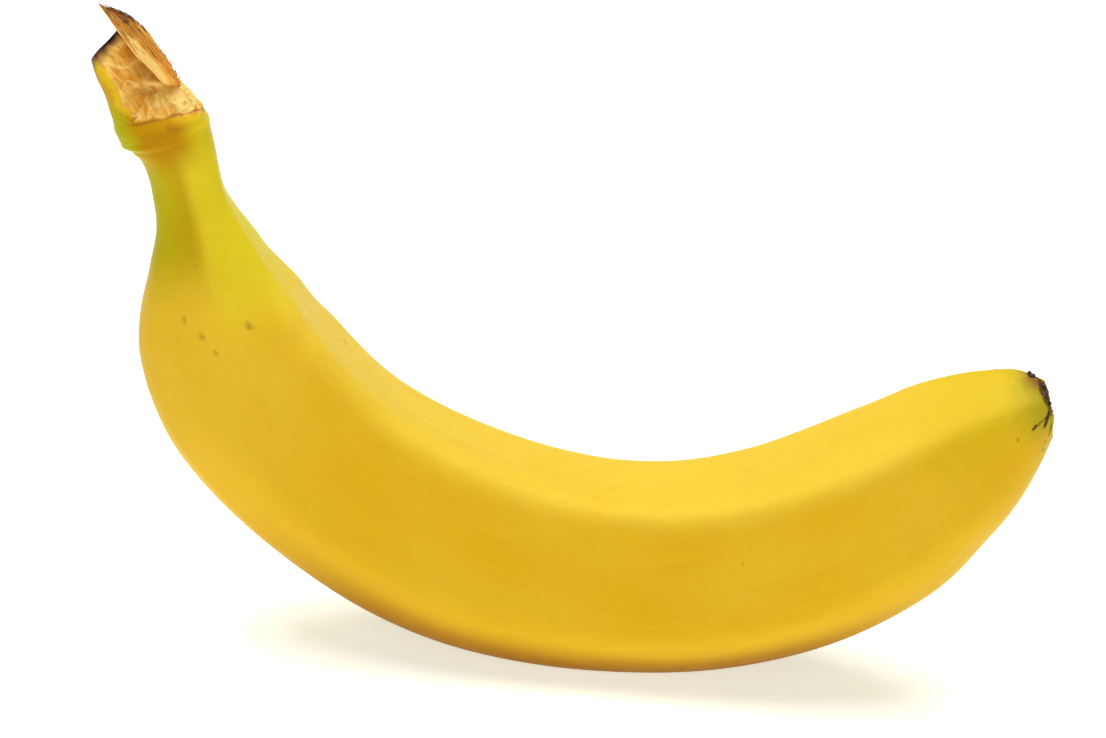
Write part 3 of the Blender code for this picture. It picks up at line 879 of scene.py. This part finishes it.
def make_fibres(material):
    """Loose strands on the tongue and at its end, splinters down its inner side, and a few pale hairs."""
    chance = np.random.default_rng(7)
    strands = Strands()
    steps = np.linspace(0.0, 1.0, 14)
    for _ in range(150):
        share = chance.uniform(0.06, 1.0)
        end = float(read(TONGUE_END, share)) + chance.uniform(-1.9, 0.7) * fade(0.02, 0.3, share)
        start = end - chance.uniform(3.0, 10.0)
        height = mix(max(start, 6.5), end, steps)
        inward = mix(read(TONGUE_OUTER, height), read(TONGUE_INNER, height), share)
        wander = chance.uniform(-0.45, 0.25) * steps**2 + 0.08 * np.sin(steps * chance.uniform(3.0, 9.0))
        thickness = read(TONGUE_THICKNESS, height)
        bulge = (1.0 - (2.0 * share - 1.0) ** 2) ** 0.4
        front = read(TONGUE_FRONT, height) + 0.5 * thickness * (1.0 - bulge)
        back = front + chance.uniform(-0.12, 0.35) + chance.uniform(-0.3, 0.7) * steps**3
        if chance.uniform() < 0.3:
            back = back + thickness * bulge
        radius = chance.uniform(0.10, 0.24) * MM
        radii = radius * (1.0 - 0.75 * steps**2) * np.minimum(1.0, 6.0 * steps + 0.3)
        tint = mix(TAN, RUST, chance.uniform(0.0, 1.2)) * chance.uniform(0.8, 1.1)
        tints = painted(
            even(tint, steps.shape),
            (BROWN, fade(0.55, 0.8, steps) * fade(0.1, 0.25, share)),
            (TONGUE_CHAR, fade(0.62, 0.92, steps) * fade(0.12, 0.3, share) * chance.uniform(0.5, 1.0)),
        )
        strands.add(tear_point(height, inward + wander, back), radii, tints)
    for _ in range(64):
        root = chance.uniform(1.2, 17.0)
        share = 1.0 if root > 6.0 else 0.9
        inward = float(read(TONGUE_INNER, root)) if root > 5.2 else mix(7.3, 5.2, root / 5.2)
        length = chance.uniform(0.5, 1.5)
        angle = math.radians(chance.uniform(18.0, 62.0))
        height = root + length * steps * math.cos(angle)
        reach = share * inward - 0.25 + length * steps * math.sin(angle) + 0.1 * steps**2
        back = chance.uniform(-2.2, 1.0) + 0.2 * steps
        radii = chance.uniform(0.06, 0.13) * MM * (1.0 - 0.85 * steps)
        tint = mix(TAN, RUST, chance.uniform(0.0, 1.0))
        tints = blend(even(tint, steps.shape), BROWN, fade(0.6, 1.0, steps) * chance.uniform(0.0, 1.0))
        strands.add(tear_point(height, reach, back), radii, tints)
    for root, inward, length, bend in PALE_HAIRS:
        height = root + length * np.sin(0.5 * math.pi * steps) * 0.75
        reach = inward + length * (0.55 * steps + 0.35 * bend * steps**2)
        radii = 0.055 * MM * (1.0 - 0.7 * steps)
        strands.add(tear_point(height, reach, -1.2), radii, even(CREAM, steps.shape))
    return strands.make("stem_fibres", material)


# ---- the blossom scar


def make_scar(material, body):
    """The dry blossom scar: crumbled lumps in it, a dark stub at its inward side, and a few dry threads."""
    chance = np.random.default_rng(11)
    centre = body[-1].mean(axis=0)
    strands = Strands()
    steps = np.linspace(0.0, 1.0, 9)
    lengthwise = np.linspace(-1.0, 1.0, 9)
    bulge = np.sqrt(np.maximum(0.03, 1.0 - lengthwise**2))

    def lump(place, size, tint):
        """A rough, tapered crumb of dry skin."""
        lean = END_INWARD + ACROSS * chance.uniform(-1.0, 1.0)
        path = place + np.outer(lengthwise, size * chance.uniform(0.4, 0.8, 3) * lean)
        path = path + chance.uniform(-0.12, 0.12, path.shape) * size
        strands.add(path, size * bulge * chance.uniform(0.35, 0.6), even(tint, steps.shape))

    def on_face(turn, share):
        """A place on the scar, at a share of its reach."""
        inward = SCAR_INWARD + share * SCAR_HALF_DEPTH * math.cos(turn)
        back = SCAR_SIDE + share * SCAR_HALF_WIDTH * math.sin(turn)
        return centre + MM * (inward * END_INWARD + back * ACROSS)

    for _ in range(80):
        place = on_face(chance.uniform(0.0, math.tau), chance.uniform(0.0, 0.95) ** 0.6)
        tint = mix(CHAR, LUMP_BROWN, chance.uniform(0.0, 1.0) ** 1.6)
        lump(place + chance.uniform(0.15, 0.80) * MM * END_FORWARD, chance.uniform(0.25, 0.62) * MM, tint)
    for _ in range(26):
        place = on_face(chance.uniform(0.0, math.tau), chance.uniform(0.88, 1.06))
        tint = mix(BARK, LUMP_LIGHT, chance.uniform(0.0, 1.0))
        lump(place + chance.uniform(0.35, 0.75) * MM * END_FORWARD, chance.uniform(0.18, 0.42) * MM, tint)
    stub = body[-round(1.3 * MM / END_STEP), round(STEPS_AROUND * 28.0 / 360.0)]
    for _ in range(12):
        place = stub + MM * (chance.uniform(-0.35, 0.35, 3) - 0.10 * END_INWARD)
        lump(place, chance.uniform(0.45, 0.85) * MM, mix(CHAR, BARK, chance.uniform(0.0, 0.9)))
    for turn, share, out, rise in SCAR_THREADS:
        path = on_face(turn, share) + np.outer(0.6 + out * steps, MM * END_FORWARD)
        path = path + np.outer(rise * steps**2, MM * END_INWARD)
        strands.add(path, 0.20 * MM * (1.0 - 0.8 * steps), even(BARK, steps.shape))
    return strands.make("blossom_scar", material)


# ---- materials


def connect(tree, made, inputs):
    """Link or set a shader node's inputs, by name or number."""
    for socket, value in inputs.items():
        if isinstance(value, bpy.types.NodeSocket):
            tree.links.new(value, made.inputs[socket])
        else:
            made.inputs[socket].default_value = value


def node(tree, kind, inputs=None, **settings):
    """A new shader node with its settings and inputs."""
    made = tree.nodes.new(kind)
    for setting, value in settings.items():
        setattr(made, setting, value)
    connect(tree, made, inputs or {})
    return made


def attribute(tree, name, output):
    return node(tree, "ShaderNodeAttribute", attribute_name=name).outputs[output]


def texture(tree, place, scale, detail=2.0, roughness=0.5):
    """Noise from 0 to 1."""
    inputs = {"Vector": place, "Scale": scale, "Detail": detail, "Roughness": roughness}
    return node(tree, "ShaderNodeTexNoise", inputs).outputs["Fac"]


def spread(tree, value, low, high, to_low=0.0, to_high=1.0):
    """Map a value from one range to another, and keep it there."""
    inputs = {"Value": value, "From Min": low, "From Max": high, "To Min": to_low, "To Max": to_high}
    return node(tree, "ShaderNodeMapRange", inputs).outputs["Result"]


def stretched(tree, place, scale):
    return node(tree, "ShaderNodeMapping", {"Vector": place, "Scale": scale}).outputs["Vector"]


def maths(tree, operation, first, second):
    return node(tree, "ShaderNodeMath", {0: first, 1: second}, operation=operation).outputs[0]


def mixed(tree, share, first, second):
    """A colour the given share of the way from the first to the second."""
    inputs = {0: share, 6: first, 7: second}
    for socket, value in inputs.items():
        if not isinstance(value, bpy.types.NodeSocket) and np.ndim(value):
            inputs[socket] = (*value, 1.0)
    return node(tree, "ShaderNodeMix", inputs, data_type="RGBA").outputs[2]


def bumped(tree, height, strength, distance):
    inputs = {"Height": height, "Strength": strength, "Distance": distance}
    return node(tree, "ShaderNodeBump", inputs).outputs["Normal"]


def new_material(name):
    material = bpy.data.materials.new(name)
    material.use_nodes = True
    tree = material.node_tree
    return material, tree, tree.nodes["Principled BSDF"]


def peel_material():
    """Satin peel: streaks along the fruit, fine pores, small brown specks and soft bumps."""
    material, tree, shader = new_material("peel_skin")
    tint = attribute(tree, "tint", "Color")
    place = attribute(tree, "unrolled", "Vector")
    torn = attribute(tree, "torn", "Fac")
    dry = attribute(tree, "dry", "Fac")
    lengthwise = stretched(tree, place, (0.12, 1.0, 1.0))
    streaks = texture(tree, lengthwise, 900.0, 3.0, 0.6)
    pores = texture(tree, place, 2600.0, 2.0, 0.6)
    cloud = texture(tree, place, 130.0, 3.0, 0.55)

    colour = tint
    for value, low, high, most, over in (
        (streaks, 0.52, 0.80, 0.10, srgb(196, 140, 6)),
        (streaks, 0.46, 0.22, 0.08, srgb(240, 206, 20)),
        (pores, 0.54, 0.74, 0.20, srgb(190, 140, 24)),
        (cloud, 0.55, 0.78, 0.14, srgb(204, 150, 22)),
    ):
        colour = mixed(tree, spread(tree, value, low, high, 0.0, most), colour, over)

    cells = node(tree, "ShaderNodeTexVoronoi", {"Vector": place, "Scale": 210.0, "Randomness": 1.0})
    size = node(tree, "ShaderNodeSeparateColor", {0: cells.outputs["Color"]}).outputs[0]
    reach = spread(tree, size, 0.80, 1.0, 0.0, 0.085)
    speck = spread(tree, maths(tree, "SUBTRACT", cells.outputs["Distance"], reach), 0.0, -0.035)
    speck = maths(tree, "MULTIPLY", speck, spread(tree, texture(tree, place, 30.0), 0.46, 0.60))
    colour = mixed(tree, maths(tree, "MULTIPLY", speck, 0.75), colour, srgb(120, 74, 26))
    dull = maths(tree, "MAXIMUM", torn, dry)
    gloss = spread(tree, texture(tree, place, 420.0, 3.0, 0.6), 0.3, 0.7, 0.40, 0.52)
    height = maths(tree, "MULTIPLY", pores, 0.30)
    height = maths(tree, "ADD", height, maths(tree, "MULTIPLY", streaks, 0.18))
    height = maths(tree, "ADD", height, maths(tree, "MULTIPLY", texture(tree, place, 520.0, 3.0, 0.6), 0.60))
    connect(tree, shader, {
        "Base Color": mixed(tree, dull, colour, tint),
        "Roughness": maths(tree, "ADD", gloss, maths(tree, "MULTIPLY", dull, 0.16)),
        "IOR": 1.16,
        "Specular IOR Level": 0.30,
        "Subsurface Weight": 0.12,
        "Subsurface Radius": (1.0, 0.55, 0.10),
        "Subsurface Scale": 0.0016,
        "Normal": bumped(tree, height, 0.55, 0.22 * MM),
    })
    return material


def fibre_material():
    """Torn, half dry plant fibre."""
    material, tree, shader = new_material("torn_fibre")
    tint = attribute(tree, "tint", "Color")
    place = attribute(tree, "unrolled", "Vector")
    grain = texture(tree, place, 3200.0, 3.0, 0.65)
    blotch = texture(tree, place, 900.0, 2.0, 0.5)
    colour = mixed(tree, spread(tree, grain, 0.50, 0.75, 0.0, 0.40), tint, srgb(120, 68, 30))
    colour = mixed(tree, spread(tree, blotch, 0.55, 0.75, 0.0, 0.35), colour, srgb(246, 216, 150))
    connect(tree, shader, {
        "Base Color": mixed(tree, 0.6, tint, colour),
        "Roughness": spread(tree, blotch, 0.3, 0.7, 0.42, 0.70),
        "IOR": 1.3,
        "Subsurface Weight": 0.15,
        "Subsurface Radius": (1.0, 0.6, 0.3),
        "Subsurface Scale": 0.0008,
        "Normal": bumped(tree, grain, 0.6, 0.15 * MM),
    })
    return material


def scar_material():
    """Charred-looking dry blossom end."""
    material, tree, shader = new_material("dry_scar")
    tint = attribute(tree, "tint", "Color")
    place = attribute(tree, "unrolled", "Vector")
    crumbs = texture(tree, place, 2400.0, 4.0, 0.7)
    connect(tree, shader, {
        "Base Color": mixed(tree, spread(tree, crumbs, 0.55, 0.75, 0.0, 0.6), tint, srgb(126, 84, 58)),
        "Roughness": spread(tree, crumbs, 0.3, 0.7, 0.38, 0.7),
        "Normal": bumped(tree, crumbs, 0.8, 0.20 * MM),
    })
    return material


def floor_material():
    material, tree, shader = new_material("white_floor")
    place = node(tree, "ShaderNodeTexCoord").outputs["Object"]
    colour = mixed(tree, texture(tree, place, 60.0, 3.0, 0.5), (0.90, 0.90, 0.90), (0.91, 0.91, 0.91))
    distance = node(tree, "ShaderNodeVectorMath", {0: place}, operation="LENGTH").outputs["Value"]
    glow = spread(tree, distance, FLOOR_GLOW_START, FLOOR_GLOW_END, FLOOR_GLOW, FAR_FLOOR_GLOW)
    connect(tree, shader, {
        "Base Color": colour,
        "Roughness": 0.9,
        "Specular IOR Level": 0.1,
        "Emission Color": (0.90, 0.99, 0.87, 1.0),
        "Emission Strength": glow,
    })
    return material


# ---- stage, lights and camera

SKY_LOW = 0.05
SKY_HIGH = 0.85
SIDE_LIGHT = 0.0475
TOP_LIGHT = 0.095
FLOOR_GLOW = 0.60
FAR_FLOOR_GLOW = 1.3
FLOOR_GLOW_START = 0.45
FLOOR_GLOW_END = 1.6


def make_floor():
    mesh = bpy.data.meshes.new("floor")
    reach = 6.0
    corners = [(-reach, -reach, 0.0), (reach, -reach, 0.0), (reach, reach, 0.0), (-reach, reach, 0.0)]
    mesh.from_pydata(corners, [], [(0, 1, 2, 3)])
    mesh.materials.append(floor_material())
    floor = bpy.data.objects.new("floor", mesh)
    floor.location.z = -0.0001
    bpy.context.scene.collection.objects.link(floor)


def make_world():
    """A soft studio: bright overhead, dim at the sides, with a plain white backdrop."""
    world = bpy.data.worlds.new("studio")
    bpy.context.scene.world = world
    world.use_nodes = True
    tree = world.node_tree
    direction = node(tree, "ShaderNodeTexCoord").outputs["Generated"]
    height = node(tree, "ShaderNodeSeparateXYZ", {0: direction}).outputs["Z"]
    light = spread(tree, height, SKY_LOW, SKY_HIGH, SIDE_LIGHT, TOP_LIGHT)
    seen = node(tree, "ShaderNodeLightPath").outputs["Is Camera Ray"]
    strength = maths(tree, "MAXIMUM", light, seen)
    connect(tree, tree.nodes["Background"], {"Color": (1.0, 1.0, 1.0, 1.0), "Strength": strength})


def place_looking(thing, place, direction):
    """Put a lamp or a camera in the scene, looking in a direction."""
    thing.location = place
    thing.rotation_mode = "QUATERNION"
    thing.rotation_quaternion = direction.to_track_quat("-Z", "Y")
    bpy.context.scene.collection.objects.link(thing)


def add_lamp(name, place, target, size, watts):
    light = bpy.data.lights.new(name, "AREA")
    light.shape = "DISK"
    light.size = size
    light.energy = watts
    place_looking(bpy.data.objects.new(name, light), place, Vector(target) - Vector(place))


CAMERA_AZIMUTH = 12.0
CAMERA_ELEVATION = 26.0
CAMERA_DISTANCE = 0.62
CAMERA_TARGET = (-0.0029, 0.0, 0.0560)
CAMERA_LENS = 115.1


def make_camera():
    camera = bpy.data.objects.new("camera", bpy.data.cameras.new("camera"))
    camera.data.lens = CAMERA_LENS
    azimuth, elevation = math.radians(CAMERA_AZIMUTH), math.radians(CAMERA_ELEVATION)
    level = math.cos(elevation)
    away = Vector((math.sin(azimuth) * level, -math.cos(azimuth) * level, math.sin(elevation)))
    place_looking(camera, Vector(CAMERA_TARGET) + CAMERA_DISTANCE * away, -away)
    bpy.context.scene.camera = camera


make_floor()
make_world()
add_lamp("overhead", (-0.05, 0.12, 0.90), (0.0, 0.0, 0.03), 1.1, 12.5)
add_lamp("front_fill", (0.10, -1.0, 0.42), (0.0, 0.0, 0.05), 1.0, 3.2)
make_camera()
bpy.context.scene.view_settings.view_transform = "Standard"

skin = peel_material()
fibre = fibre_material()
body = make_peel(skin)
make_tongue(fibre)
make_fibres(fibre)
make_scar(scar_material(), body)
